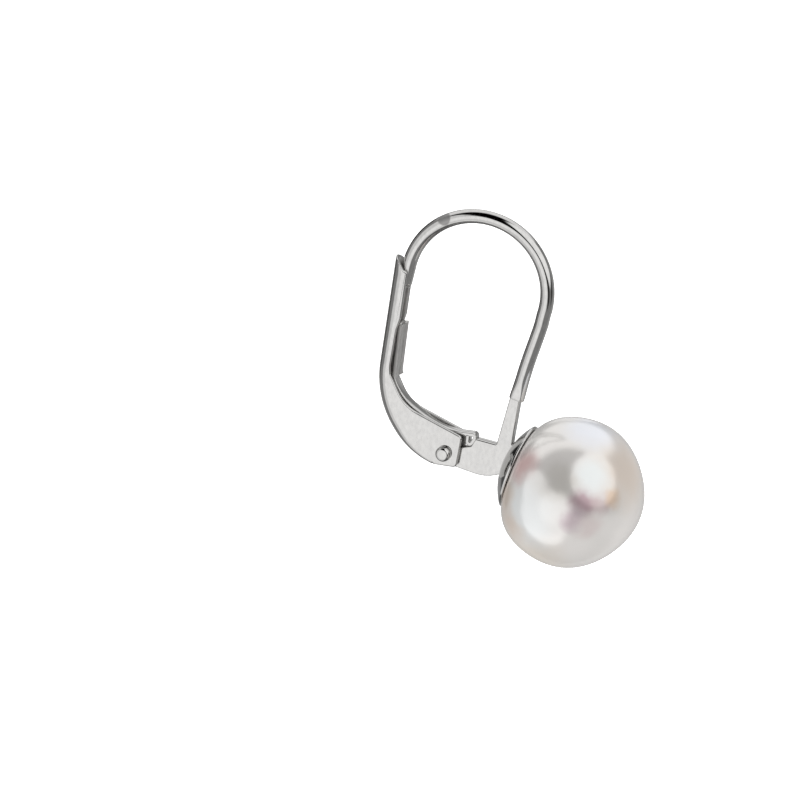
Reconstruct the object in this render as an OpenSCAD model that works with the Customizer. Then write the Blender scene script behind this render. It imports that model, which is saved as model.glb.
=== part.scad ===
// Leverback earring with a button pearl.
// X runs from the lever at the back to the pearl at the front, Y across the mechanism, Z up.
// The origin is the underside of the ear wire at the top of its arch, where it hangs in the ear.
// All sizes are in millimetres.

/* [Ear wire] */
// Diameter of the round ear wire
wire_d = 0.78; // [0.72:0.01:0.8]
// Radius of the arch, measured to the middle of the wire
arch_r = 4; // [3.95:0.01:4.05]
// Lean of the straight front leg from the vertical, in degrees
leg_lean = 18; // [17.6:0.1:18.4]
// Length of the straight front leg
leg_l = 5.3; // [5.2:0.05:5.4]
// Length of the straight tail behind the arch
tail_l = 0.9; // [0.6:0.05:1]

/* [Hinge plate] */
// Thickness of the flat plate that is soldered to the wire
plate_t = 0.62; // [0.5:0.01:0.7]
// Hinge centre, distance behind the origin
pivot_x = -1.7; // [-1.72:0.01:-1.68]
// Hinge centre, height
pivot_z = -13.08; // [-13.1:0.01:-13.06]
// Radius of the plate's end round the hinge
arm_end_r = 0.46; // [0.42:0.01:0.5]

/* [Lever] */
// Width of the lever across its two walls
lever_w = 1.34; // [1.32:0.01:1.38]
// Thickness of the sheet that the lever is folded from
sheet_t = 0.25; // [0.2:0.01:0.26]
// Outside radius of the folded back corners
fold_r = 0.45; // [0.4:0.01:0.5]
// Lean of the straight upper part from the vertical, in degrees
lever_lean = 8.6; // [8.4:0.1:8.8]
// Length of the straight upper part
lever_straight_l = 6.28; // [6.2:0.02:6.4]
// Outside radius of the upper bend
bend_upper_r = 5.4; // [5.35:0.01:5.45]
// Outside radius of the lower bend
bend_lower_r = 4.27; // [4.2:0.01:4.3]
// Gap between the two folded tabs that hold the spring
tab_seam = 0.2; // [0.1:0.05:0.3]

/* [Spring] */
// Width of the leaf spring
spring_w = 0.66; // [0.5:0.02:0.7]
// Thickness of the leaf spring
spring_t = 0.16; // [0.14:0.01:0.18]

/* [Hinge pin] */
// Diameter of the pin between its heads
pin_d = 0.6; // [0.56:0.01:0.62]
// Diameter of each head
pin_head_d = 0.86; // [0.8:0.01:0.9]
// Height of each head
pin_head_h = 0.36; // [0.3:0.02:0.4]

/* [Pearl and cup] */
// Diameter of the pearl at its widest
pearl_d = 8.38; // [8.3:0.02:8.4]
// Share of the radius that is missing at the pearl's flat back
flat_back = 0.13; // [0.12:0.005:0.14]
// Share of the radius that is missing at the pearl's front
flat_front = 0.016; // [0:0.002:0.03]
// Angle by which the pearl's axis dips below the horizontal
pearl_dip = 20; // [19.5:0.1:20.5]
// Diameter of the cup at its rim
cup_d = 4.8; // [4.76:0.02:4.9]
// Depth of the cup, outside
cup_depth = 0.95; // [0.92:0.01:1]
// Width of the band at the cup's rim
cup_rim_h = 0.14; // [0.1:0.01:0.2]
// Distance from the rim of the cup to the middle of the pearl
cup_to_pearl = 3.06; // [3.04:0.01:3.08]
// Distance of the cup's middle above the pearl's axis
cup_rise = 0.14; // [0.1:0.01:0.16]
// Diameter of the peg that the pearl is glued on
peg_d = 0.7; // [0.6:0.05:0.8]
// Depth of the drilled hole in the pearl
drill_depth = 3; // [2.5:0.1:3.5]

/* [Hidden] */

$fn = 144;
// Small gap between pieces that meet
gap = 0.025;
// Longer than the whole part, for cuts that pass right through
far = 24;
metal = [0.80, 0.81, 0.83];
nacre = [0.93, 0.90, 0.86];

// Directions in the XZ plane for a lean a: along(a) runs up the line, and across(a) to its front
function along(a) = [sin(a), cos(a)];
function across(a) = [cos(a), -sin(a)];
// A point of the XZ plane as a point in space
function in_space(p) = [p[0], 0, p[1]];
// Points on an arc of radius r round the point c, from angle a0 to angle a1
function arc(c, r, a0, a1, n) =
    [for (i = [0:n]) let (a = a0 + (a1 - a0) * i / n) c + r * [cos(a), sin(a)]];
// A closed outline whose corners are rounded: each row is [x, z, corner radius]
function rounded(rows) =
    [for (i = [0:len(rows) - 1])
        each corner_points(xz(rows, i - 1), xz(rows, i), xz(rows, i + 1), rows[i][2])];
function xz(rows, i) = let (row = rows[(i + len(rows)) % len(rows)]) [row[0], row[1]];
function corner_points(before, p, after, r) =
    let (u = (before - p) / norm(before - p), v = (after - p) / norm(after - p))
    let (half = acos(u * v) / 2, mid = (u + v) / norm(u + v))
    r == 0 ? [p] : fillet_points(p + mid * r / sin(half), r, atan2(-mid[1], -mid[0]), 90 - half,
                                 sign(u[0] * v[1] - u[1] * v[0]));
function fillet_points(c, r, a, span, turn) =
    let (n = max(2, ceil(span / 8)))
    [for (i = [-n:n]) let (b = a - turn * span * i / n) c + r * [cos(b), sin(b)]];

// The ear wire's path
wire_r = wire_d / 2;
arch_c = [0, -(arch_r - wire_r)];
tail_start = 168;
tail_lean = 180 - tail_start;
tail_top = arch_c + arch_r * [cos(tail_start), sin(tail_start)];
tail_end = tail_top - tail_l * along(tail_lean);
tail_chamfer = 0.2;
// The straight parts are finer than the arch by this, and reach into it by lap
step = 0.005;
lap = 0.05;
leg_top = arch_c + arch_r * across(leg_lean);
leg_end = leg_top - leg_l * along(leg_lean);

// The pearl's middle
pearl_c = [5.32, -14.88];
// The pearl's radius at an angle from the front of its axis
function pearl_r(angle, grow = 0) =
    pearl_d / 2 * (1 - (angle > 90 ? flat_back : flat_front) * pow(abs(cos(angle)), 1.5)) + grow;
// Outside radius of the cup's back, a part of a ball that ends at the band
cup_ball_h = cup_depth - cup_rim_h;
cup_ball_r = (pow(cup_d / 2, 2) + pow(cup_ball_h, 2)) / (2 * cup_ball_h);
// The pearl's back, measured from the cup's rim along the axis
pearl_back = cup_to_pearl - pearl_r(180);
// The peg is rooted in the cup by this, and the drilled hole starts clear of the pearl
peg_root = 0.15;
drill_start = 1;

// The hinge plate's outline, from the hinge centre: x, z, corner radius
plate_rows = [
    [3.72, 3.50, 0.05],
    [4.18, 3.36, 0.08],
    [3.79, 0.70, 0.10],
    [4.40, 0.20, 0],
    [4.40, -0.60, 0],
    [3.70, -0.75, 0],
    [2.60, -1.40, 2.40],
    [0.55, -0.83, 0.12],
    [0.05, -0.40, 0],
    [-0.05, 0.40, 0],
    [0.80, 0.30, 0.2],
    [1.55, 0.34, 0.04],
    [1.90, 0.83, 0.05],
    [2.92, 0.72, 0.06],
];

// The lever's back line: where the upper bend starts, the two bends, and the straight end
bend_start = [-5.495, -8.27];
bend_upper_turn = 43;
bend_lower_turn = 46;
lean_mid = lever_lean - bend_upper_turn;
lean_end = lean_mid - bend_lower_turn;
bend_upper_c = bend_start + bend_upper_r * across(lever_lean);
bend_mid = bend_upper_c - bend_upper_r * across(lean_mid);
bend_lower_c = bend_mid + bend_lower_r * across(lean_mid);
bend_end = bend_lower_c - bend_lower_r * across(lean_end);
wall_depth = 2.6;
ear_l = 1.3;
tongue_r = 0.7;
tongue_top = -2.10;
// Between the ears the back is cut away from here on, so that the plate can pass when the lever opens
back_end_x = -2.3;
slot_clearance = 0.07;
slot_w = plate_t + 2 * slot_clearance;
slot_l = 2.5;
slot_h = 1.3;
slot_bottom = pivot_z - 1.5;

// The lever's side view, which trims its walls: x, z, corner radius
lever_rows = [
    [-5.40, -1.80, 0],
    [-4.62, -2.06, 0.05],
    [-3.72, -2.52, 0.75],
    [-4.08, -5.75, 0.25],
    [-4.44, -5.98, 0.20],
    [-4.70, -8.90, 0.50],
    [-4.46, -10.22, 1.90],
    [-2.72, -11.22, 0.80],
    [-0.74, -12.22, 0.22],
    [-1.13, -13.90, 0.25],
    [-2.83, -13.61, 0],
    [-2.90, -15.00, 0],
    [-7.00, -15.00, 0],
    [-7.00, -1.80, 0],
];

// The two tabs that are folded over the spring
tab_lean = 7.2;
tab_foot = [-4.38, -9.02];
tab_l = 3.03;
tab_w = lever_w - 0.1;
tab_t = 0.20;
tab_depth = 0.6;
tab_chamfer = 0.12;

// The spring's front face: its foot under the tabs, then two bends and the curled end
spring_foot = tab_foot - (tab_t + gap) * across(tab_lean) + 0.02 * along(tab_lean);
spring_top_l = tab_l + 0.06;
elbow_r = 0.5;
elbow_lean = -20;
leaf_upper_r = 3.74;
leaf_mid_lean = -62;
leaf_lower_r = 7.46;
leaf_end_lean = -82;
elbow_c = spring_foot + elbow_r * across(tab_lean);
elbow_end = elbow_c - elbow_r * across(elbow_lean);
leaf_upper_c = elbow_end + leaf_upper_r * across(elbow_lean);
leaf_mid = leaf_upper_c - leaf_upper_r * across(leaf_mid_lean);
leaf_lower_c = leaf_mid + leaf_lower_r * across(leaf_mid_lean);
leaf_end = leaf_lower_c - leaf_lower_r * across(leaf_end_lean);
curl_r = 0.34;
curl_turn = 188;
curl_c = leaf_end - curl_r * across(leaf_end_lean);
curl_end_lean = leaf_end_lean + curl_turn;
hem_l = 0.3;
// The line of the spring's front face, or of its back when it is set back by the thickness
function spring_line(set_back) = concat(
    [spring_foot + spring_top_l * along(tab_lean) - set_back * across(tab_lean)],
    leaf_arc(elbow_c, elbow_r + set_back, tab_lean, elbow_lean, 5),
    leaf_arc(leaf_upper_c, leaf_upper_r + set_back, elbow_lean, leaf_mid_lean, 12),
    leaf_arc(leaf_lower_c, leaf_lower_r + set_back, leaf_mid_lean, leaf_end_lean, 6),
    leaf_arc(curl_c, set_back - curl_r, leaf_end_lean, curl_end_lean, 24),
    [curl_c + (curl_r - set_back) * across(curl_end_lean) - hem_l * along(curl_end_lean)]);
// Points on a bend of the leaf, which faces its centre: r is negative where it turns the other way
function leaf_arc(c, r, lean0, lean1, n) =
    [for (i = [0:n]) c - r * across(lean0 + (lean1 - lean0) * i / n)];
spring_outline = concat(spring_line(0), reversed(spring_line(spring_t)));
function reversed(points) = [for (i = [len(points) - 1:-1:0]) points[i]];

// Radius of the bores that the pin turns in
bore_r = pin_d / 2 + gap;

// Turns an outline drawn in the XZ plane into a plate of thickness t, centred on Y
module plate_of(t) {
    rotate([90, 0, 0]) translate([0, 0, -t / 2]) linear_extrude(t) children();
}

// Part of a ring in the XZ plane: the profile is drawn with its radius along x
module bend(c, start, turn) {
    translate(in_space(c)) rotate([90, 0, 0]) rotate([0, 0, start]) rotate_extrude(angle = turn) children();
}

// A straight bar from point p, up along the lean
module bar(p, lean, l) {
    translate(in_space(p)) rotate([0, lean, 0]) linear_extrude(l) children();
}

// A body of revolution round the pearl's axis, from the pearl's middle
module on_pearl_axis() {
    translate(in_space(pearl_c)) rotate([0, 90 + pearl_dip, 0]) children();
}

// The pearl's outer form, or the space that it needs when it is grown
module pearl_form(grow = 0) {
    n = 40;
    rotate_extrude() polygon([for (i = [0:n]) let (a = 180 * i / n, r = pearl_r(a, grow))
        [max(0, r * sin(a)), r * cos(a)]]);
}

module wire_round() {
    straight_r = wire_r - step;
    bend(arch_c, -leg_lean, tail_start + leg_lean) translate([arch_r, 0]) circle(wire_r);
    bar(leg_end, leg_lean, leg_l + lap) circle(straight_r);
    translate(in_space(tail_end)) rotate([0, tail_lean, 0]) {
        translate([0, 0, tail_chamfer]) cylinder(r = straight_r, h = tail_l - tail_chamfer + lap);
        cylinder(r1 = straight_r - tail_chamfer, r2 = straight_r, h = tail_chamfer);
    }
}

module hinge_plate() {
    translate([pivot_x, 0, pivot_z]) difference() {
        union() {
            plate_of(plate_t) polygon(rounded(plate_rows));
            rotate([90, 0, 0]) cylinder(r = arm_end_r, h = plate_t, center = true);
        }
        rotate([90, 0, 0]) cylinder(r = bore_r, h = 2 * plate_t, center = true);
    }
}

// From the middle of the cup's rim, with the cup's axis along z
module on_cup_axis() {
    on_pearl_axis() translate([-cup_rise, 0, -cup_to_pearl]) children();
}

// The cup's back is part of a ball, with a narrow band at the rim
module cup_back() {
    on_cup_axis() rotate_extrude() intersection() {
        translate([0, cup_ball_r - cup_depth]) circle(cup_ball_r);
        translate([0, -cup_depth]) square([cup_d / 2, cup_depth]);
    }
}

module ear_wire() {
    color(metal) {
        difference() {
            union() {
                wire_round();
                hinge_plate();
                cup_back();
            }
            on_pearl_axis() pearl_form(gap);
        }
        on_cup_axis() translate([0, 0, pearl_back - peg_root]) cylinder(d = peg_d, h = drill_depth);
    }
}

// The channel's section: a flat back with round corners at x = 0, and walls that run towards +x.
// Its skin can be set back by a little on every side
module channel_section(set_back = 0) {
    fold_y = lever_w / 2 - fold_r;
    half = lever_w / 2 - set_back;
    inner = lever_w / 2 - sheet_t + set_back;
    outer_r = fold_r - set_back;
    inner_r = fold_r - sheet_t + set_back;
    difference() {
        polygon(concat(
            arc([fold_r, -fold_y], outer_r, 270, 180, 5),
            arc([fold_r, fold_y], outer_r, 180, 90, 5),
            [[wall_depth, half], [wall_depth, -half]]));
        polygon(concat(
            arc([fold_r, -fold_y], inner_r, 270, 180, 3),
            arc([fold_r, fold_y], inner_r, 180, 90, 3),
            [[wall_depth + 1, inner], [wall_depth + 1, -inner]]));
    }
}

module channel_bend(c, r, lean, turn) {
    bend(c, 180 - lean, turn) translate([r, 0]) mirror([1, 0]) channel_section();
}

module channel() {
    bar(bend_start - lap * along(lever_lean), lever_lean, lever_straight_l + lap) channel_section(step);
    channel_bend(bend_upper_c, bend_upper_r, lever_lean, bend_upper_turn);
    channel_bend(bend_lower_c, bend_lower_r, lean_mid, bend_lower_turn);
    bar(bend_end - ear_l * along(lean_end), lean_end, ear_l + lap) channel_section(step);
}

// The lever's round top end, seen from the front
module tongue_outline() {
    translate([-far / 2, 0, tongue_top - tongue_r]) rotate([90, 0, 90]) linear_extrude(far) union() {
        circle(tongue_r);
        translate([-lever_w, -far]) square([2 * lever_w, far]);
    }
}

// Two walls with their edges folded inwards until only the seam is left open
module tabs() {
    half = tab_w / 2;
    bar(tab_foot, tab_lean, tab_l) for (side = [-1, 1]) scale([1, side])
        polygon([[-tab_depth, half - tab_t], [-tab_depth, half], [-tab_chamfer, half],
                 [0, half - tab_chamfer], [0, tab_seam / 2], [-tab_t, tab_seam / 2], [-tab_t, half - tab_t]]);
}

module lever() {
    color(metal) difference() {
        union() {
            intersection() {
                channel();
                plate_of(2 * lever_w) polygon(rounded(lever_rows));
                tongue_outline();
            }
            tabs();
        }
        translate([pivot_x, 0, pivot_z]) rotate([90, 0, 0])
            cylinder(r = bore_r, h = 2 * lever_w, center = true);
        translate([back_end_x, -slot_w / 2, slot_bottom]) cube([slot_l, slot_w, slot_h]);
    }
}

module spring() {
    color(metal) plate_of(spring_w) polygon(spring_outline);
}

module pin_head() {
    chamfer = 0.14;
    cylinder(d = pin_head_d, h = pin_head_h - chamfer);
    translate([0, 0, pin_head_h - chamfer])
        cylinder(d1 = pin_head_d, d2 = pin_head_d - 2 * chamfer, h = chamfer);
}

module hinge_pin() {
    shank_l = lever_w + 2 * gap;
    color(metal) translate([pivot_x, 0, pivot_z]) rotate([90, 0, 0]) {
        cylinder(d = pin_d, h = shank_l, center = true);
        for (side = [0, 180]) rotate([side, 0, 0]) translate([0, 0, shank_l / 2]) pin_head();
    }
}

module pearl() {
    color(nacre) difference() {
        on_pearl_axis() pearl_form();
        on_cup_axis() translate([0, 0, pearl_back - drill_start])
            cylinder(d = peg_d + 2 * gap, h = drill_depth + drill_start);
    }
}

ear_wire();
lever();
spring();
hinge_pin();
pearl();
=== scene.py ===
# %% [markdown]
# A leverback earring with a button pearl
#
# The real earring has few pieces: a round wire that goes through the ear, a flat plate soldered to its
# end, a cup that holds the pearl, and a folded lever that swings on a rivet and shuts against the wire.
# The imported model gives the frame: its sizes, its bodies and the hinge. Here each piece gets its finer
# form and its finish. Lengths are written in millimetres and turned into metres when a mesh is made.

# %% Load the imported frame
import math
import bpy
import bmesh
from mathutils import Matrix, Vector


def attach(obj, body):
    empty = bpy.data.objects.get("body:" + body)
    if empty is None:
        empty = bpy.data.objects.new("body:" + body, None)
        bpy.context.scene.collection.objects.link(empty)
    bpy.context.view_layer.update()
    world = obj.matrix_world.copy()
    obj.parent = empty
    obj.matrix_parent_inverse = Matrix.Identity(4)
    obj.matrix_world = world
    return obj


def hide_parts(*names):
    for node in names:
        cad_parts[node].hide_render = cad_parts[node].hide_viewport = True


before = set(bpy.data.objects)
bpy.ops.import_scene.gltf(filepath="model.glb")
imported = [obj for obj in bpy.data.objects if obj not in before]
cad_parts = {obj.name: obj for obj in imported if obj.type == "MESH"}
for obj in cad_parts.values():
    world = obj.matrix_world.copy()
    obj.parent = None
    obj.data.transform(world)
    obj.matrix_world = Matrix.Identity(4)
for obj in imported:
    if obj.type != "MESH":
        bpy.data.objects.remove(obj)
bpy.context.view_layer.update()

# %% [markdown]
# Lines seen from the side
#
# Almost every line of this earring lies in the XZ plane, with the pearl toward +X. A lean says how far a
# line tips from the vertical, in degrees: "along" runs up the line, and "across" points from it toward
# the pearl. Points could be typed one by one, but leans and lengths can be read off the real piece.

# %% Leans and steps
MM = 0.001


def cosine(angle):
    return math.cos(math.radians(angle))


def sine(angle):
    return math.sin(math.radians(angle))


def along(lean):
    return Vector((sine(lean), 0, cosine(lean)))


def across(lean):
    return Vector((cosine(lean), 0, -sine(lean)))


def steps(first, last, count):
    return [first + (last - first) * i / count for i in range(count + 1)]


print("a lean of 30 degrees runs along", [round(c, 2) for c in along(30)])

# %% [markdown]
# From points to a piece
#
# A thin metal piece needs three things to look real: the right outline, edges that are a little round,
# and shading that stays flat on its flat faces. Every mesh here is made from a list of points and faces.
# A bevel by angle then rounds only the true edges, and weighted normals keep the large faces flat.

# %% Make a piece and round its edges
weld = 0.0005


def new_piece(name, points, faces, body, replaces, finishes, finish_of=None):
    """A piece from points in millimetres; finish_of gives each face its finish by number."""
    mesh = bpy.data.meshes.new(name)
    mesh.from_pydata([Vector(p) * MM for p in points], [], faces)
    for finish in finishes:
        mesh.materials.append(finish)
    for i, number in enumerate(finish_of or []):
        mesh.polygons[i].material_index = number
    cleaner = bmesh.new()
    cleaner.from_mesh(mesh)
    bmesh.ops.remove_doubles(cleaner, verts=cleaner.verts, dist=weld * MM)
    bmesh.ops.recalc_face_normals(cleaner, faces=cleaner.faces)
    cleaner.to_mesh(mesh)
    cleaner.free()
    for face in mesh.polygons:
        face.use_smooth = True
    piece = bpy.data.objects.new(name, mesh)
    bpy.context.scene.collection.objects.link(piece)
    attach(piece, body)
    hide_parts(replaces)
    print(name, "has", len(mesh.polygons), "faces")
    return piece


def round_edges(piece, width, segments, angle):
    """Rounds the edges that are sharper than an angle, and keeps flat faces flat."""
    bevel = piece.modifiers.new("edges", "BEVEL")
    bevel.width = width * MM
    bevel.segments = segments
    bevel.limit_method = "ANGLE"
    bevel.angle_limit = math.radians(angle)
    bevel.use_clamp_overlap = False
    flat = piece.modifiers.new("flat faces", "WEIGHTED_NORMAL")
    flat.keep_sharp = True


print("points closer than", weld, "mm are welded")

# %% [markdown]
# Helpers for finishes
#
# A finish is a small net of nodes. One function adds a node with its settings and its links, so that each
# material below reads as a list of what the real surface does. Colours are written as the hex values that
# a paint chart gives, and are turned to linear light here.

# %% Colours and nodes
# A mix node keeps its colour sockets at these places
COLOUR_A, COLOUR_B, COLOUR_OUT = 6, 7, 2


def linear(hex_colour):
    """A colour from its sRGB hex value, as linear light."""
    parts = [int(hex_colour[i:i + 2], 16) / 255 for i in (1, 3, 5)]
    return [c / 12.92 if c <= 0.04045 else ((c + 0.055) / 1.055) ** 2.4 for c in parts] + [1.0]


def add_node(tree, kind, inputs=None, **settings):
    """Adds a node, with its settings, and its inputs as values or as links."""
    made = tree.nodes.new(kind)
    for name, value in settings.items():
        setattr(made, name, value)
    for name, value in (inputs or {}).items():
        if isinstance(value, bpy.types.NodeSocket):
            tree.links.new(value, made.inputs[name])
        else:
            made.inputs[name].default_value = value
    return made


def new_material(name, **values):
    """A material with its shader, whose constant values sit on the shader's own sockets."""
    material = bpy.data.materials.new(name)
    material.use_nodes = True
    tree = material.node_tree
    shader = tree.nodes["Principled BSDF"]
    for socket, value in values.items():
        shader.inputs[socket.replace("_", " ")].default_value = value
    return material, tree, shader


print("mid grey is", [round(c, 3) for c in linear("#808080")])

# %% [markdown]
# Rhodium plate
#
# The wire, plate, cup and lever are silver with a thin plate of rhodium, which stays white and bright. A
# flat grey metal would look like plastic, because the eye knows polish by its small faults. So three
# things are laid over the mirror: slow waves that the soft wheel leaves, hair scratches that change the
# gloss and the tint a little, and one dull place near the top of the wire, where the plate is rubbed.

# %% The hairs and waves of a polished plate
# Waves are about as long as on the real metal. Real hairs are a hundredth of a millimetre wide, which is
# too fine to show, so they are drawn as a faint grain that is many times coarser
wave_size = 0.8
hair_size = 0.18
# Wheel marks run up and down more than across
hair_stretch = (1.0, 1.0, 0.6)
rubbed_roughness = 0.45
rubbed_grey = "#A5A4A3"


def rhodium_plate(name, roughness, wave, white="#DAD9D7", grey="#C2C1C0", rubbed=None):
    """Plate with its roughness, the depth of its waves, two tints, and a rubbed place with its reach."""
    material, tree, shader = new_material(name, Metallic=1.0)
    place = add_node(tree, "ShaderNodeTexCoord").outputs["Object"]
    stretched = add_node(tree, "ShaderNodeMapping", {"Vector": place, "Scale": hair_stretch})
    hairs = add_node(tree, "ShaderNodeTexNoise",
                     {"Vector": stretched.outputs[0], "Scale": 1 / (hair_size * MM), "Detail": 2.0})
    hair = hairs.outputs["Fac"]
    # The noise stays mostly between 0.3 and 0.7, and that is spread over a small range of gloss
    rough = add_node(tree, "ShaderNodeMapRange",
                     {"Value": hair, "From Min": 0.3, "From Max": 0.7,
                      "To Min": roughness - 0.03, "To Max": roughness + 0.04}).outputs[0]
    tint = add_node(tree, "ShaderNodeMix",
                    {"Factor": hair, COLOUR_A: linear(white), COLOUR_B: linear(grey)},
                    data_type="RGBA").outputs[COLOUR_OUT]
    if rubbed:
        spot, reach = rubbed
        away = add_node(tree, "ShaderNodeVectorMath", {0: place, 1: spot * MM}, operation="DISTANCE")
        share = add_node(tree, "ShaderNodeMapRange",
                         {"Value": away.outputs["Value"], "From Min": reach * MM,
                          "From Max": 0.8 * reach * MM}).outputs[0]
        rough = add_node(tree, "ShaderNodeMix", {"Factor": share, "A": rough, "B": rubbed_roughness},
                         data_type="FLOAT").outputs["Result"]
        tint = add_node(tree, "ShaderNodeMix",
                        {"Factor": share, COLOUR_A: tint, COLOUR_B: linear(rubbed_grey)},
                        data_type="RGBA").outputs[COLOUR_OUT]
    tree.links.new(rough, shader.inputs["Roughness"])
    tree.links.new(tint, shader.inputs["Base Color"])
    clouds = add_node(tree, "ShaderNodeTexNoise",
                      {"Vector": place, "Scale": 1 / (wave_size * MM), "Detail": 2.0})
    waves = add_node(tree, "ShaderNodeBump", {"Height": clouds.outputs["Fac"], "Distance": wave * MM})
    tree.links.new(waves.outputs[0], shader.inputs["Normal"])
    return material


print("hairs are drawn", hair_size, "mm wide")

# %% [markdown]
# Three finishes of one metal
#
# All three are the same plate. What differs is how the surface under it was made, and that is what the
# eye reads: a wheel reaches the outside of a piece, never the inside of a fold.

# %% Mix the three finishes
polish_roughness = 0.075
polish_wave = 0.006
# Polished on a soft wheel: it mirrors the room sharply, and the waves bend its lines a little
rhodium = rhodium_plate("rhodium_plate_polished", polish_roughness, polish_wave)
# The same, with the dull grey place near the top of the arch, where the mirror stops and starts again
rubbed_at = Vector((-1.8, -0.32, 0.2))
rubbed_reach = 0.42
rhodium_wire = rhodium_plate("rhodium_plate_rubbed", polish_roughness, polish_wave,
                             rubbed=(rubbed_at, rubbed_reach))
# As it came from the rolling mill: half matt and paler, so it shows light and shade but no room
rhodium_inside = rhodium_plate("rhodium_plate_unpolished", 0.5, 0.012, "#E4E3E1", "#C4C3C1")
print("materials", rhodium.name, rhodium_wire.name, rhodium_inside.name)

# %% [markdown]
# The ear wire
#
# The real wire is round, almost 0.8 mm thick, and bent by hand over a peg, so its front leg isn't quite
# straight. A curve with a bevel would do, but a mesh that is swept ring by ring lets the free tip be
# rounded off and the lower end be pressed flat where it is soldered to the plate. First comes its line.

# %% Draw the wire's middle line
wire_r = 0.40
arch_r = 4.03
arch_centre = Vector((0.02, 0, -3.64))
arch_steps = 93
tail_angle = 168
tail_lean = 14
tail_length = 0.93
tail_steps = 8
leg_lean = 18
leg_length = 5.20
leg_steps = 34
# Both straight parts start a little way off the arch, so that no two rings fall together
straight_from = 0.15
# The leg sways in one slow wave, which starts softly below the arch
leg_sway = 0.022
sway_ease = 0.6
sway_from = 0.8
sway_wave = 4.6

tail_top = arch_centre + arch_r * across(-tail_angle)
wire_line = [tail_top - along(tail_lean) * s for s in steps(tail_length, straight_from, tail_steps)]
wire_line += [arch_centre + arch_r * across(-angle) for angle in steps(tail_angle, -leg_lean, arch_steps)]
leg_top = wire_line[-1]
for s in steps(straight_from, leg_length, leg_steps):
    ease = min(1, s / sway_ease)
    sway = leg_sway * (1 + math.cos(2 * math.pi * (s - sway_from) / sway_wave)) * ease
    wire_line.append(leg_top - along(leg_lean) * s + across(leg_lean) * sway)
print("the wire's line has", len(wire_line), "points")

# %% [markdown]
# Sweep the wire
#
# A ring of points is set square to the line at each of its points, and neighbours are joined. The rings
# at the free tip start at almost one place, and each is pushed along the line to build the rounded end.
# One fault is left in it: the line's own first point lies a hair behind the last tip ring, so that ring
# looks backward, and the faces on both sides of it cross. It leaves a small step at the tip, which is
# inside the lever while the earring is shut. Starting the line after the tip rings would mend it.

# %% Sweep rings along the line
wire_sides = 32
tip_rings = 6
tip_rounding = 0.2
tip_spacing = 0.0001
# The last part of the leg gets a little wider and thinner
press_length = 1.3
press_wide = 0.03
press_thin = 0.07


def sweep(path, sides, section):
    """Rings along a path in the XZ plane; section gives half width, half depth and a push along it."""
    points, faces = [], []
    for i, p in enumerate(path):
        ahead = (path[min(i + 1, len(path) - 1)] - path[max(i - 1, 0)]).normalized()
        out = Vector((ahead.z, 0, -ahead.x))
        high, deep, push = section(i)
        for k in range(sides):
            a = 2 * math.pi * k / sides
            y = max(-deep, min(deep, high * math.sin(a)))
            points.append(p + ahead * push + out * (high * math.cos(a)) + Vector((0, y, 0)))
    for i in range(len(path) - 1):
        for k in range(sides):
            m = (k + 1) % sides
            faces.append([i * sides + k, i * sides + m, (i + 1) * sides + m, (i + 1) * sides + k])
    last = (len(path) - 1) * sides
    faces.append(list(range(sides)))
    faces.append([last + k for k in range(sides - 1, -1, -1)])
    return points, faces


def wire_section(i):
    if i < tip_rings:
        angle = 90 * i / tip_rings
        r = wire_r - tip_rounding * (1 - sine(angle))
        return r, r, -tip_rounding * cosine(angle)
    to_end = (len(wire_path) - 1 - i) * leg_length / leg_steps
    press = max(0.0, 1 - to_end / press_length)
    press = press * press * (3 - 2 * press)
    return wire_r + press_wide * press, wire_r - press_thin * press, 0.0


tip_ahead = (wire_line[1] - wire_line[0]).normalized()
wire_path = [wire_line[0] + tip_ahead * tip_spacing * k for k in range(tip_rings)] + wire_line
points, faces = sweep(wire_path, wire_sides, wire_section)
ear_wire = new_piece("EarWire", points, faces, "wire", "ear_wire", [rhodium_wire])
round_edges(ear_wire, width=0.03, segments=2, angle=50)

# %% [markdown]
# Helpers for a stamped plate
#
# A stamping tool leaves no corner sharp, and each small arc is what catches the light. So an outline is
# given as its corners with a radius for each, as on a drawing, and a function turns them into arcs. The
# hole is cut with a drill, as in the shop, because a boolean keeps it round however the outline changes.

# %% Outlines, plates and drills
arc_step = 6
drill_sides = 48


def rounded(rows):
    """Points of a closed outline whose rows are x, z and corner radius."""
    points = []
    for i, (x, z, radius) in enumerate(rows):
        corner = Vector((x, 0, z))
        if radius == 0:
            points.append(corner)
            continue
        last_x, last_z, _ = rows[i - 1]
        next_x, next_z, _ = rows[(i + 1) % len(rows)]
        before = (Vector((last_x, 0, last_z)) - corner).normalized()
        after = (Vector((next_x, 0, next_z)) - corner).normalized()
        half = before.angle(after) / 2
        middle = (before + after).normalized()
        centre = corner + middle * (radius / math.sin(half))
        turn = 1 if before.cross(after).y > 0 else -1
        arc = math.pi / 2 - half
        for share in steps(-1, 1, max(4, 2 * int(math.degrees(arc) / arc_step))):
            swing = Matrix.Rotation(-turn * share * arc, 3, "Y")
            points.append(centre + swing @ (-middle * radius))
    return points


def plate(outline, half):
    """Points and faces of a flat plate, as thick as twice the half, from an outline in the XZ plane."""
    n = len(outline)
    points = [p + Vector((0, -half, 0)) for p in outline] + [p + Vector((0, half, 0)) for p in outline]
    faces = [list(range(n)), list(range(2 * n - 1, n - 1, -1))]
    faces += [[i, (i + 1) % n, n + (i + 1) % n, n + i] for i in range(n)]
    return points, faces


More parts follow.
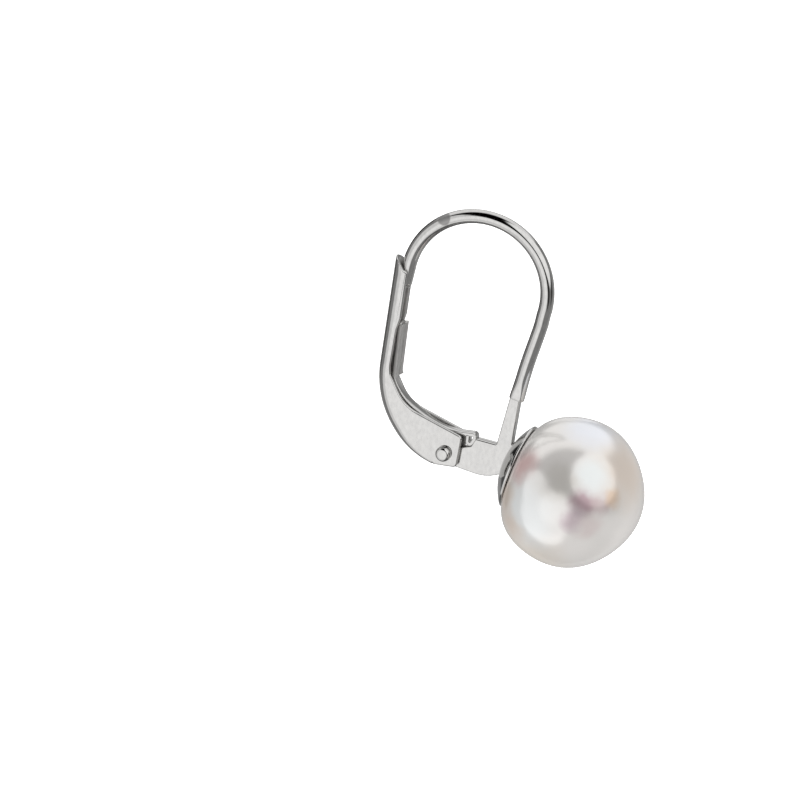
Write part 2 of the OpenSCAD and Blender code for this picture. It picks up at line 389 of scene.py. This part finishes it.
def drill(piece, centre, radius, length):
    """Drills a hole through a piece, along Y, and keeps the shape that this gives."""
    mesh = bpy.data.meshes.new("drill")
    shape = bmesh.new()
    turn = Matrix.Rotation(math.pi / 2, 4, "X")
    bmesh.ops.create_cone(shape, cap_ends=True, segments=drill_sides, radius1=radius * MM,
                          radius2=radius * MM, depth=length * MM,
                          matrix=Matrix.Translation(centre * MM) @ turn)
    shape.to_mesh(mesh)
    shape.free()
    cutter = bpy.data.objects.new("drill", mesh)
    bpy.context.scene.collection.objects.link(cutter)
    boolean = piece.modifiers.new("hole", "BOOLEAN")
    boolean.operation = "DIFFERENCE"
    boolean.solver = "EXACT"
    boolean.object = cutter
    drilled = piece.evaluated_get(bpy.context.evaluated_depsgraph_get())
    mesh = bpy.data.meshes.new_from_object(drilled)
    piece.modifiers.clear()
    piece.data = mesh
    bpy.data.objects.remove(cutter)


print("a rounded square has", len(rounded([(0, 0, .2), (1, 0, .2), (1, 1, .2), (0, 1, .2)])), "points")

# %% [markdown]
# The hinge plate
#
# The real plate is stamped from sheet. It carries the hinge at one end, the wire at the top and the cup
# at the front. Its outline is drawn once, with the radius of each corner, thickened, and drilled for the
# rivet. Its edges are rounded last, a little, as the stamp and the wheel leave them.

# %% Stamp the plate
pivot = Vector((-1.7, 0, -13.08))
plate_half = 0.31
bore_r = 0.325
# Each row is x and z from the hinge, and the corner's radius
plate_rows = [
    (3.72, 3.50, 0.10),
    (4.26, 3.34, 0.10),
    (3.80, 0.70, 0.10),
    (4.40, 0.20, 0),
    (4.40, -0.60, 0),
    (3.70, -0.75, 0),
    (2.60, -1.40, 2.40),
    (0.55, -0.83, 0.12),
    (0.22, -0.40, 0.2),
    (-0.22, -0.40, 0.2),
    (-0.46, 0.0, 0.3),
    (-0.22, 0.40, 0.2),
    (0.22, 0.40, 0.2),
    (0.80, 0.30, 0.2),
    (1.45, 0.42, 0.05),
    (1.72, 0.86, 0.08),
    (2.91, 0.63, 0.06),
]
points, faces = plate([pivot + p for p in rounded(plate_rows)], plate_half)
hinge_plate = new_piece("HingePlate", points, faces, "wire", "ear_wire", [rhodium])
drill(hinge_plate, pivot, bore_r, length=2)
round_edges(hinge_plate, width=0.07, segments=4, angle=35)
print("the plate is", 2 * plate_half, "mm thick")

# %% [markdown]
# The cup
#
# The pearl sits in a shallow cup with a peg in its middle. The real cup was pressed and then turned, so a
# lathe is the right tool here too: one profile is turned round the pearl's axis. The outside is a dome
# with a narrow band at its rim, the lip is a small half round, and the inside follows the pearl's back.
# So the pearl's own form is settled here: a ball whose back is pressed flat and whose front hardly is.

# %% Turn the cup
pearl_centre = Vector((5.32, 0, -14.88))
pearl_dip = 20
pearl_axis = across(pearl_dip)
pearl_up = along(pearl_dip)
pearl_r = 4.19
flat_back = 0.23
flat_front = 0.008
cup_r = 2.4
cup_depth = 0.95
cup_band = 0.14
cup_lip = 0.07
cup_to_pearl = 3.06
cup_rise = 0.14
pearl_gap = 0.04
# The dish starts this many degrees from the pearl's front, where the lip ends
dish_from = 146
dome_steps, lip_steps, dish_steps = 24, 10, 12
cup_sides = 96


def pearl_radius(angle):
    """The pearl's radius at an angle from the front of its axis, in degrees."""
    forward = cosine(angle)
    flat = flat_front * forward ** 2 if forward > 0 else flat_back * forward ** 4
    return pearl_r * (1 - flat)


def lathe(profile, origin, axis, sides):
    """Turns a profile of distance along the axis and radius round that axis."""
    axis = axis.normalized()
    side = axis.orthogonal().normalized()
    third = axis.cross(side)
    points, faces, rings = [], [], []
    for distance, radius in profile:
        # A ring that closes on the axis is a single point
        if radius < 1e-6:
            rings.append([len(points)] * sides)
            points.append(origin + axis * distance)
            continue
        rings.append([len(points) + k for k in range(sides)])
        for k in range(sides):
            a = 2 * math.pi * k / sides
            points.append(origin + axis * distance + (side * math.cos(a) + third * math.sin(a)) * radius)
    for low, high in zip(rings, rings[1:]):
        for k in range(sides):
            m = (k + 1) % sides
            corners = [low[k], low[m], high[m], high[k]]
            faces.append(list(dict.fromkeys(corners)))
    return points, faces


cup_centre = pearl_centre - pearl_axis * cup_to_pearl + pearl_up * cup_rise
dome_h = cup_depth - cup_band
dome_r = (cup_r ** 2 + dome_h ** 2) / (2 * dome_h)
profile = []
for angle in steps(0, math.degrees(math.asin(cup_r / dome_r)), dome_steps):
    profile.append((-cup_depth + dome_r * (1 - cosine(angle)), dome_r * sine(angle)))
for angle in steps(10, 180, lip_steps):
    profile.append((-cup_lip + cup_lip * sine(angle), cup_r - cup_lip + cup_lip * cosine(angle)))
for angle in steps(dish_from, 180, dish_steps):
    r = pearl_radius(angle) + pearl_gap
    profile.append((cup_to_pearl + r * cosine(angle), max(0, r * sine(angle))))
points, faces = lathe(profile, cup_centre, pearl_axis, cup_sides)
cup = new_piece("PearlCup", points, faces, "wire", "ear_wire", [rhodium])
round_edges(cup, width=0.02, segments=2, angle=40)
print("the cup is", round(2 * cup_r, 2), "mm across")

# %% [markdown]
# The lever: its back
#
# The real lever is one sheet, 0.25 mm thick, folded to a channel and bent twice, with its walls trimmed
# to an outline. A solid bar with a groove cut in it would miss the soft fold that takes the light, so the
# mesh is made as the real one is. First the line of its back is followed, straight and then round both
# bends, and cut off where the channel's floor ends above the hinge.

# %% Follow the lever's back
lever_lean = 8.6
bend_start = Vector((-5.55, 0, -8.27))
straight = 6.28
straight_rows = 14
# Each bend is its radius and its turn in degrees
bends = [(5.4, 43), (4.27, 46)]
bend_steps = 18
floor_end_x = -2.32

back_line = [(bend_start + along(lever_lean) * s, lever_lean) for s in steps(straight, 0, straight_rows)[:-1]]
start, lean = bend_start, lever_lean
for radius, turn in bends:
    centre = start + across(lean) * radius
    back_line += [(centre - across(a) * radius, a) for a in steps(lean, lean - turn, bend_steps)[:-1]]
    lean -= turn
    start = centre - across(lean) * radius
back_line = [row for row in back_line if row[0].x < floor_end_x]
print("the lever's back has", len(back_line), "stations")

# %% [markdown]
# The lever: its walls
#
# Each wall is one flat face with the trimmed outline, so that it mirrors the room as flat metal does. Its
# front edge is given corner by corner, like the plate. The channel's top is cut aslant, in a shallow
# curve from the back's top end down to the front, so the points near the top slide down to that cut.

# %% Trim the walls
# Each row is x, z and radius. The first and the last only give the ends of the front edge their direction
lever_rows = [
    (-4.05, -2.60, 0),
    (-3.82, -3.00, 0.22),
    (-4.20, -5.60, 0.25),
    (-4.45, -6.30, 0.60),
    (-4.80, -8.35, 0.50),
    (-4.78, -8.85, 0.35),
    (-4.02, -10.55, 2.30),
    (-0.66, -12.09, 0.24),
    (-1.00, -13.88, 0.25),
    (-2.83, -13.58, 0),
]
slant_top = Vector((-4.62, 0, -2.08))
slant_fall = 0.75
slant_curve = 0.60
# The front edge ends this deep under the back's last station
floor_edge = 0.04


def back_point(i, depth, y):
    """A point at a station of the back, as deep as that under its line, below the slanted cut."""
    p, lean = back_line[i]
    p = p + across(lean) * depth
    if i < straight_rows:
        top = back_line[0][0] + across(lean) * depth
        # The cut falls as the point goes forward, so its place is found in a few rounds
        for _ in range(6):
            forward = max(0, top.x - slant_top.x)
            limit = slant_top.z - slant_fall * forward - slant_curve * min(1, forward) ** 2
            top = top - along(lean) * max(0, top.z - limit)
        low = back_line[straight_rows][0] + across(lean) * depth
        p = top.lerp(low, i / straight_rows)
    return Vector((p.x, y, p.z))


last_point, last_lean = back_line[-1]
front_edge = rounded(lever_rows)[1:-1] + [last_point + across(last_lean) * floor_edge]
print("each wall's front edge has", len(front_edge), "points")

# %% [markdown]
# The lever: its fold
#
# Where the sheet turns from wall to back, the fold is wider than a tight bend, and the walls turn slowly
# into the back. It is widest at the top and gets tight toward the hinge, where the back was pressed
# square. The section is half of an oval, and its power says how square the oval's corners are.

# %% Shape the fold
lever_half = 0.67
sheet = 0.25
fold_steps = 12
top_depth = 0.66
fold_depth = 0.56
fold_power = 1.1
end_depth = 0.18
end_power = 0.4
# The back starts to be pressed square at this lean, and is square after this turn
press_from = -34
press_turn = 40
# The channel's floor stays at least this far behind the depth where its walls start
floor_least = 0.02


def fold(half, start, depth, power):
    """The folded section, as depth and y, from one wall round the back to the other."""
    angles = steps(90, 0, fold_steps)
    rows = [(start + (depth - start) * (1 - cosine(a)), -half * sine(a) ** power) for a in angles]
    return rows + [(d, -y) for d, y in reversed(rows[:-1])]


def fold_at(i):
    """The outer and the inner section at a station."""
    share = min(1, max(0, (press_from - back_line[i][1]) / press_turn))
    to_top = max(0, 1 - i / straight_rows)
    depth = fold_depth + (end_depth - fold_depth) * share + (top_depth - fold_depth) * to_top
    power = fold_power + (end_power - fold_power) * share
    inner_start = min(sheet, depth - floor_least)
    return fold(lever_half, 0, depth, power), fold(lever_half - sheet, inner_start, depth, power)


print("the fold is", round(max(d for d, y in fold_at(0)[0]), 2), "mm deep at the top")

# %% [markdown]
# The lever: its mesh
#
# The sections are joined station by station into an outer and an inner skin. The walls close the sides,
# and narrow strips close the rims, so the sheet has its real thickness. The outer skin is polished, and
# the inner one isn't, because no wheel reaches it. Last come the bore for the rivet and the round edges.

# %% Join the lever
def add_row(points, new):
    """Adds a row of points, and gives back their numbers."""
    first = len(points)
    points += new
    return list(range(first, len(points)))


def bridge(one, other):
    """Faces between two rows of points, given by number."""
    return [[one[k], one[k + 1], other[k + 1], other[k]] for k in range(len(one) - 1)]


points, faces, finish_of = [], [], []
skins = [[], []]
for i in range(len(back_line)):
    for skin, section in zip(skins, fold_at(i)):
        skin.append(add_row(points, [back_point(i, depth, y) for depth, y in section]))
for finish, skin in enumerate(skins):
    for low, high in zip(skin, skin[1:]):
        faces += bridge(low, high)
    finish_of += [finish] * (len(faces) - len(finish_of))
for end in (0, -1):
    faces += bridge(skins[0][end], skins[1][end])
finish_of += [0] * (len(faces) - len(finish_of))
for side, edge in ((-1, 0), (1, -1)):
    rims = []
    for finish, y in ((0, side * lever_half), (1, side * (lever_half - sheet))):
        back = [row[edge] for row in skins[finish]]
        front = add_row(points, [Vector((p.x, y, p.z)) for p in front_edge])
        faces.append(back + front[::-1])
        finish_of.append(finish)
        rims.append([back[0]] + front + [back[-1]])
    faces += bridge(*rims)
    finish_of += [0] * (len(faces) - len(finish_of))
lever = new_piece("Lever", points, faces, "lever", "lever",
                  [rhodium, rhodium_inside], finish_of)
drill(lever, pivot, bore_r, length=3)
round_edges(lever, width=0.09, segments=4, angle=45)

# %% [markdown]
# The two tabs over the spring
#
# Ears of the same sheet are folded inwards and pressed down over the spring's foot. They leave a seam
# between them, and the saw left small corners at their lower end. Each is a bent strip: a front face, a
# tight fold, and a side that goes back into the channel beside the wall. One section is drawn at each
# height, and the far tab is the near one with its side changed.

# %% Fold the tabs
tab_lean = 7.2
tab_foot = Vector((-4.47, 0, -9.02))
tab_length = 3.03
tab_steps = 24
tab_half = 0.66
tab_edge = 0.48
tab_t = 0.12
tab_fold = 0.05
tab_fold_angles = (25, 50, 75, 90)
tab_reach = 0.28
seam_half = 0.1
seam_corner = 0.02
burr_height = 0.07
burr_length = 0.15


def tab_section(s):
    """The tab's outer and inner lines, as depth and y, at a height above its foot."""
    burr = burr_height * max(0, 1 - s / burr_length)
    outer = [(-seam_corner, seam_half), (0, seam_half + seam_corner), (burr, tab_half - tab_fold)]
    outer += [(burr - tab_fold * (1 - cosine(a)), tab_half - tab_fold + (tab_fold + burr / 2) * sine(a))
              for a in tab_fold_angles]
    outer += [(-tab_reach, tab_edge)]
    inner = [(-tab_t, seam_half)] * 3
    inner += [(-tab_t, tab_edge - tab_t)] * len(tab_fold_angles)
    inner += [(-tab_reach, tab_edge - tab_t)]
    return outer, inner


def tab(side):
    points, faces, skins = [], [], [[], []]
    for s in steps(0, tab_length, tab_steps):
        for skin, section in zip(skins, tab_section(s)):
            row = [tab_foot + along(tab_lean) * s + across(tab_lean) * depth for depth, y in section]
            skin.append(add_row(points, [Vector((p.x, side * y, p.z)) for p, (_, y) in zip(row, section)]))
    for skin in skins:
        for low, high in zip(skin, skin[1:]):
            faces += bridge(low, high)
    for end in (0, -1):
        faces += bridge([row[end] for row in skins[0]], [row[end] for row in skins[1]])
        faces += bridge(skins[0][end], skins[1][end])
    return points, faces


for side, name in ((-1, "LeverTabNear"), (1, "LeverTabFar")):
    points, faces = tab(side)
    piece = new_piece(name, points, faces, "lever", "lever", [rhodium_inside])
    round_edges(piece, width=0.02, segments=2, angle=45)

# %% [markdown]
# The leaf spring
#
# A thin strip of spring steel is clamped under the tabs. It bows over the channel and ends in a small
# hook, folded under. The hook sits in a notch of the hinge plate, and that is what snaps the lever open
# and shut. The strip is drawn as its front line, thickened backwards, and given its width. It has the
# lever's polish, because the plating went over both.

# %% Bend the spring
spring_half = 0.33
spring_t = 0.20
spring_foot = Vector((-4.601, 0, -8.972))
# The foot reaches this far above the tabs
spring_over = 0.06
# Each row of the leaf is a radius, the lean where its bend ends, and its number of steps
leaf = [(0.5, -20, 6), (3.1, -45, 8), (6.0, -64, 8), (4.0, -87, 8), (20, -88.5, 1)]
# Each row of the hook is a radius, the lean where its bend ends, and the straight run after it
hook = [(0.25, 32, 0.27), (0.25, 188, 0.36)]
hook_steps = 12


def spring_line(set_back):
    """The spring's line, set back by a part of its thickness, from its top down to the hook's end."""
    points = [spring_foot + along(tab_lean) * (tab_length + spring_over) - across(tab_lean) * set_back]
    start, lean = spring_foot, tab_lean
    for radius, end_lean, count in leaf:
        centre = start + across(lean) * radius
        points += [centre - across(a) * (radius + set_back) for a in steps(lean, end_lean, count)]
        start, lean = centre - across(end_lean) * radius, end_lean
    for radius, end_lean, run in hook:
        centre = start - across(lean) * radius
        points += [centre + across(a) * (radius - set_back) for a in steps(lean, end_lean, hook_steps)[1:]]
        points.append(points[-1] - along(end_lean) * run)
        start, lean = centre + across(end_lean) * radius - along(end_lean) * run, end_lean
    return points


points, faces, rails = [], [], []
for y in (-spring_half, spring_half):
    for set_back in (0, spring_t):
        rails.append(add_row(points, [p + Vector((0, y, 0)) for p in spring_line(set_back)]))
for one, other in ((0, 1), (2, 3), (0, 2), (1, 3)):
    faces += bridge(rails[one], rails[other])
for end in (0, -1):
    faces.append([rails[k][end] for k in (0, 1, 3, 2)])
spring = new_piece("LeafSpring", points, faces, "lever", "spring", [rhodium])
round_edges(spring, width=0.03, segments=2, angle=50)

# %% [markdown]
# The rivet
#
# The lever turns on a rivet whose ends were hammered over, which leaves a round shoulder with a small
# flat on top. It is turned like the cup, round the hinge's own axis. Only half of the profile is drawn,
# from the middle to one head, because both heads are alike.

# %% Turn the rivet
pin_r = 0.3
head_r = 0.43
head_h = 0.36
head_gap = 0.025
head_from = lever_half + head_gap
head_corner = 0.02
head_side = 0.14
flat_r = 0.22
shoulder_steps = 10
rivet_sides = 64

half_profile = [(0.0, pin_r), (head_from, pin_r), (head_from, head_r - head_corner)]
half_profile.append((head_from + head_corner, head_r))
for angle in steps(0, 90, shoulder_steps):
    half_profile.append((head_from + head_side + (head_h - head_side) * sine(angle),
                         flat_r + (head_r - flat_r) * cosine(angle)))
half_profile.append((head_from + head_h, 0.0))
profile = [(-d, r) for d, r in reversed(half_profile[1:])] + half_profile
points, faces = lathe(profile, pivot, Vector((0, 1, 0)), rivet_sides)
hinge_rivet = new_piece("HingeRivet", points, faces, "lever", "hinge_pin", [rhodium])
round_edges(hinge_rivet, width=0.02, segments=2, angle=40)

# %% [markdown]
# Nacre
#
# A pearl is built of thousands of thin plates of nacre, a third of a micrometre thick. Light goes into
# them and comes back soft, and the outer plates mirror the room, blurred. Where the plates thin out, they
# tint the light, so a white pearl has patches of rose, violet and apricot, each some millimetres wide.
# The shader's thin film could make such tints, but not at the places where this pearl has them. So they
# are soft spots of colour that are placed on the ball, over a slow drift between two whites. The rose,
# violet and apricot spots lie along the edges of the two large reflections, so they are painted colour of
# the mirrored light as well as tints of the nacre. Some spots are painted light outright: three bluish
# white ones are painted highlights, where the large panel on the left, the lamp at the upper right and
# the roof are mirrored, and a grey spot and the darker violet ones are painted shade in the dull valley
# between the two reflections.

# %% Nacre for the pearl
# Nacre bends light a little more than glass does. The stack of plates mirrors more than one clear skin
# would, which a part of metal gives, and it blurs the mirror, which the roughness gives
nacre, tree, shader = new_material("pearl_nacre", Metallic=0.3, Roughness=0.18, IOR=1.6)
drift_size = 4.0
swirl_size = 1.5
swirl_reach = 1.2
place = add_node(tree, "ShaderNodeTexCoord").outputs["Object"]
drift = add_node(tree, "ShaderNodeTexNoise",
                 {"Vector": place, "Scale": 1 / (drift_size * MM), "Detail": 2.0})
colour = add_node(tree, "ShaderNodeMix",
                  {"Factor": drift.outputs["Fac"], COLOUR_A: linear("#F3EDEA"), COLOUR_B: linear("#F3F2EE")},
                  data_type="RGBA").outputs[COLOUR_OUT]
# Each spot has its middle, in millimetres, its reach, its colour and its strength. The painted
# highlights and the painted shade among them are marked
nacre_tints_and_painted_light = [
    ((9.2, -1.3, -13.0), 3.0, "#EADCCF", 0.85),
    ((4.0, -2.0, -17.5), 3.0, "#EFE6DA", 0.8),
    # Painted highlight: a bluish white patch where the large panel on the left is mirrored
    ((4.0, -3.6, -15.3), 2.7, "#FAFCFC", 1.0),
    # Rose tint along the upper edge of that reflection, painted colour of the mirrored light
    ((3.4, -3.2, -12.6), 1.6, "#DBB2B0", 0.75),
    # Painted shade: grey, in the dull valley between the two reflections
    ((6.0, -3.85, -13.3), 1.5, "#DAD6CF", 0.65),
    # Violet tints under the reflections, also darker as painted shade of the valley
    ((7.2, -3.70, -14.5), 1.15, "#C3A8AF", 0.95),
    ((6.7, -3.90, -15.4), 0.9, "#D4C2C9", 0.8),
    ((7.5, -3.40, -15.8), 1.1, "#E8DAD8", 0.7),
    # Mauve and apricot tints along the edges of the reflection at the upper right, painted colour of the
    # mirrored light; the mauve one is also darker, as painted shade
    ((8.0, -3.1, -14.5), 1.0, "#CBB0B2", 0.6),
    ((8.6, -2.6, -14.3), 0.75, "#E8C9AC", 0.7),
    # Painted highlights: a bluish white band where the roof is mirrored at the top, and a patch where the
    # lamp at the upper right is mirrored
    ((6.8, -0.7, -11.0), 2.2, "#F2F4FA", 1.0),
    ((7.5, -3.0, -13.0), 1.5, "#F4F8F8", 0.9),
    ((2.3, -2.8, -14.6), 1.5, "#EFDCCB", 0.7),
    ((2.8, -3.1, -16.2), 1.4, "#EBDDD1", 0.9),
]
# A swirl bends the spots' outlines. It moves each point by half its reach on average, so the spots'
# middles are moved by as much
warp = add_node(tree, "ShaderNodeTexNoise",
                {"Vector": place, "Scale": 1 / (swirl_size * MM), "Detail": 3.0})
swirl = add_node(tree, "ShaderNodeVectorMath",
                 {0: warp.outputs["Color"], 1: [swirl_reach * MM] * 3, 2: place}, operation="MULTIPLY_ADD")
for middle, reach, hex_colour, strength in nacre_tints_and_painted_light:
    centre = (Vector(middle) + Vector([swirl_reach / 2] * 3)) * MM
    away = add_node(tree, "ShaderNodeVectorMath", {0: swirl.outputs[0], 1: centre}, operation="DISTANCE")
    share = add_node(tree, "ShaderNodeMapRange",
                     {"Value": away.outputs["Value"], "From Min": reach * MM, "From Max": 0.2 * reach * MM,
                      "To Max": strength}, interpolation_type="SMOOTHSTEP")
    colour = add_node(tree, "ShaderNodeMix",
                      {"Factor": share.outputs[0], COLOUR_A: colour, COLOUR_B: linear(hex_colour)},
                      data_type="RGBA").outputs[COLOUR_OUT]
tree.links.new(colour, shader.inputs["Base Color"])
print("material", nacre.name, "with", len(nacre_tints_and_painted_light), "nacre_tints_and_painted_light")

# %% [markdown]
# The pearl's skin
#
# Under a lamp a real pearl shows a faint unevenness, like orange peel, where the plates grew in steps.
# The steps are finer than a pixel, so a soft bump half a millimetre long and very low stands for them.

# %% Peel on the nacre
peel_size = 0.5
peel_height = 0.004
peel = add_node(tree, "ShaderNodeTexNoise", {"Vector": place, "Scale": 1 / (peel_size * MM), "Detail": 2.0})
peel_bump = add_node(tree, "ShaderNodeBump", {"Height": peel.outputs["Fac"], "Distance": peel_height * MM})
tree.links.new(peel_bump.outputs[0], shader.inputs["Normal"])
print("the peel is", peel_height, "mm high")

# %% [markdown]
# The pearl
#
# A button pearl is almost round, with a flatter back that sits in the cup. No real pearl is a true ball:
# this one's outline has five faint corners. The mesh is a ball of rings round the pearl's axis, whose
# radius changes a little with direction. A subdivided cube would be as round, but rings lie square to the
# axis, as the pearl's own flat back does.

# %% Grow the pearl
pearl_rings = 64
pearl_sides = 128
corner_count = 5
corner_share = 0.009
corner_turn = 54


def pearl_surface(direction):
    """The pearl's radius in a direction, with its soft corners."""
    angle = math.degrees(direction.angle(pearl_axis))
    around = math.atan2(direction.z, direction.x) - math.radians(corner_turn)
    corners = corner_share * math.cos(corner_count * around) * (1 - direction.y ** 2)
    return pearl_radius(angle) * (1 + corners)


def ring_vertex(i, k):
    """The number of a ring's point; the first and last ring are single points."""
    if i == 0:
        return 0
    return len(points) - 1 if i == pearl_rings else 1 + (i - 1) * pearl_sides + k % pearl_sides


points, faces = [], []
for i in range(pearl_rings + 1):
    a = math.pi * i / pearl_rings
    for k in range(pearl_sides if 0 < i < pearl_rings else 1):
        b = 2 * math.pi * k / pearl_sides
        outward = pearl_up * math.cos(b) + Vector((0, 1, 0)) * math.sin(b)
        direction = pearl_axis * math.cos(a) + outward * math.sin(a)
        points.append(pearl_centre + direction * pearl_surface(direction))
for i in range(pearl_rings):
    for k in range(pearl_sides):
        corners = [(i, k), (i, k + 1), (i + 1, k + 1), (i + 1, k)]
        faces.append(list(dict.fromkeys(ring_vertex(*corner) for corner in corners)))
new_piece("Pearl", points, faces, "wire", "pearl", [nacre])
print("the pearl is", round(2 * pearl_r, 2), "mm across")

# %% [markdown]
# The camera
#
# A piece this small is photographed from far away with a long lens, a little from the front and a little
# from above, so its lines stay parallel. The camera does the same: a metre away, with a lens that sees
# 44 mm.

# %% Set the camera
azimuth, elevation = 17, 15
view_width = 44
# The distance is in metres
distance = 1.0
aim = Vector((-3.314, -3.646, -9.398)) * MM


def toward(right, up):
    """A direction by its angles from the camera: to its right, and above the horizon."""
    turn = math.radians(azimuth + right)
    lift = math.radians(up)
    return Vector((math.sin(turn) * math.cos(lift), -math.cos(turn) * math.cos(lift), math.sin(lift)))


to_camera = toward(0, elevation)
camera_data = bpy.data.cameras.new("Camera")
camera_data.sensor_width = 36
camera_data.lens = camera_data.sensor_width * distance / (view_width * MM)
camera_data.clip_start = 0.01
camera_data.clip_end = 20
camera = bpy.data.objects.new("Camera", camera_data)
camera.location = aim + to_camera * distance
camera.rotation_euler = to_camera.to_track_quat("Z", "Y").to_euler()
bpy.context.scene.collection.objects.link(camera)
bpy.context.scene.camera = camera
print("lens", round(camera_data.lens), "mm")

# %% [markdown]
# The studio
#
# Polished metal shows the room more than itself, so the room is the real lighting. It is a tent of pale
# panels: a large bright one in front on the left, a lamp at the upper right, a light roof, and grey behind.
# The dark opening for the camera, the dark below and a few black cards at the sides draw the thin black
# lines along the wire, under the lever and in the cup. Lamps and boards could be built as objects, but a
# round patch of the sky with a soft edge takes three nodes, and a mirror finds nothing hard in it. The
# camera sees plain white instead.

# %% Light the room
# Each panel has its direction, the angles where it is full and where it ends, and its brightness. A later
# one covers an earlier one
room_level = 0.27
panels = [
    # Behind the earring
    (toward(180, -35), 20, 50, 0.36),
    (toward(180, 13), 7, 13, 0.8),
    (toward(135, -24), 26, 38, 0.40),
    # The roof, the dark below, and the opening over the camera
    (toward(170, 75), 42, 54, 1.0),
    (toward(0, 90), 16, 30, 1.0),
    (toward(0, -88), 28, 48, 0.13),
    (toward(-8, 32), 46, 62, 0.0),
    # The large panel in front on the left, in four parts
    (toward(-62, 14), 20, 28, 0.85),
    (toward(-46, -40), 24, 35, 1.0),
    (toward(-45, -17), 31, 42, 0.84),
    (toward(-22, -12), 16, 31, 1.13),
    # Black cards, on the left behind and on the right in front
    (toward(-133, -2), 9, 17, 0.09),
    (toward(-137, 15), 10, 17, 0.02),
    (toward(24, -15), 9, 13, 0.03),
    (toward(70, -8), 12, 20, 0.06),
    # The lamp at the upper right
    (toward(46, 30), 33, 42, 1.17),
]
world = bpy.data.worlds.new("Studio")
bpy.context.scene.world = world
world.use_nodes = True
tree = world.node_tree
tree.nodes.clear()
ray = add_node(tree, "ShaderNodeTexCoord").outputs["Generated"]
brightness = room_level
for direction, full_angle, end_angle, panel_level in panels:
    facing = add_node(tree, "ShaderNodeVectorMath", {0: ray, 1: direction}, operation="DOT_PRODUCT")
    share = add_node(tree, "ShaderNodeMapRange",
                     {"Value": facing.outputs["Value"], "From Min": cosine(end_angle),
                      "From Max": cosine(full_angle)}, interpolation_type="SMOOTHSTEP")
    brightness = add_node(tree, "ShaderNodeMix",
                          {"Factor": share.outputs[0], "A": brightness, "B": panel_level},
                          data_type="FLOAT").outputs["Result"]
room = add_node(tree, "ShaderNodeBackground", {"Color": (1, 1, 1, 1), "Strength": brightness})
backdrop = add_node(tree, "ShaderNodeBackground", {"Color": (1, 1, 1, 1), "Strength": 1.0})
seen = add_node(tree, "ShaderNodeLightPath").outputs["Is Camera Ray"]
both = add_node(tree, "ShaderNodeMixShader", {0: seen, 1: room.outputs[0], 2: backdrop.outputs[0]})
add_node(tree, "ShaderNodeOutputWorld", {"Surface": both.outputs[0]})
bpy.context.scene.view_settings.view_transform = "Standard"
print(len(panels), "panels and cards in the room")

# %% [markdown]
# Fill lamps
#
# The pearl needs light from all round to show its pale body, as the white tent gives it. These soft lamps
# give only that. They are hidden from reflections, because the metal mirrors the room above and a second
# set of lamps in it would spoil its clean lines.

# %% Hang the fill lamps
# The distance and the size are in metres
fill_distance = 0.5
fill_size = 0.4
fill_middle = Vector((2, 0, -11)) * MM
fill_lamps = [
    ("FillRight", toward(95, -5), 0.72),
    ("FillLow", toward(10, -75), 1.45),
    ("FillLeft", toward(-100, 5), 0.5),
    ("FillTop", toward(20, 80), 0.35),
]
for name, direction, power in fill_lamps:
    lamp = bpy.data.lights.new(name, "AREA")
    lamp.shape = "DISK"
    lamp.size = fill_size
    lamp.energy = power
    holder = bpy.data.objects.new(name, lamp)
    holder.location = fill_middle + direction * fill_distance
    holder.rotation_euler = direction.to_track_quat("Z", "Y").to_euler()
    holder.visible_glossy = False
    bpy.context.scene.collection.objects.link(holder)
print(len(fill_lamps), "fill lamps")

# %% [markdown]
# The floor
#
# A plain pale sheet well below the earring, so that it takes no shadow. It is seen by the camera only,
# because the fill lamps already give the light that a white table throws back.

# %% Lay the floor
# These two are in metres
floor_half = 3.0
floor_z = -0.15
floor_mesh = bpy.data.meshes.new("Floor")
floor_corners = [(x * floor_half, y * floor_half, floor_z) for x, y in ((-1, -1), (1, -1), (1, 1), (-1, 1))]
floor_mesh.from_pydata(floor_corners, [], [(0, 1, 2, 3)])
floor = bpy.data.objects.new("Floor", floor_mesh)
bpy.context.scene.collection.objects.link(floor)
# Matt paper in full light: the eye takes it for plain white, with no edge and no shine
paper, tree, shader = new_material("white_paper_matt", Base_Color=linear("#F7F7F6"), Roughness=0.9,
                                   Emission_Color=linear("#FFFFFF"), Emission_Strength=0.9)
floor_mesh.materials.append(paper)
floor.visible_glossy = False
floor.visible_diffuse = False
floor.visible_shadow = False
print("floor", 2 * floor_half, "m wide")
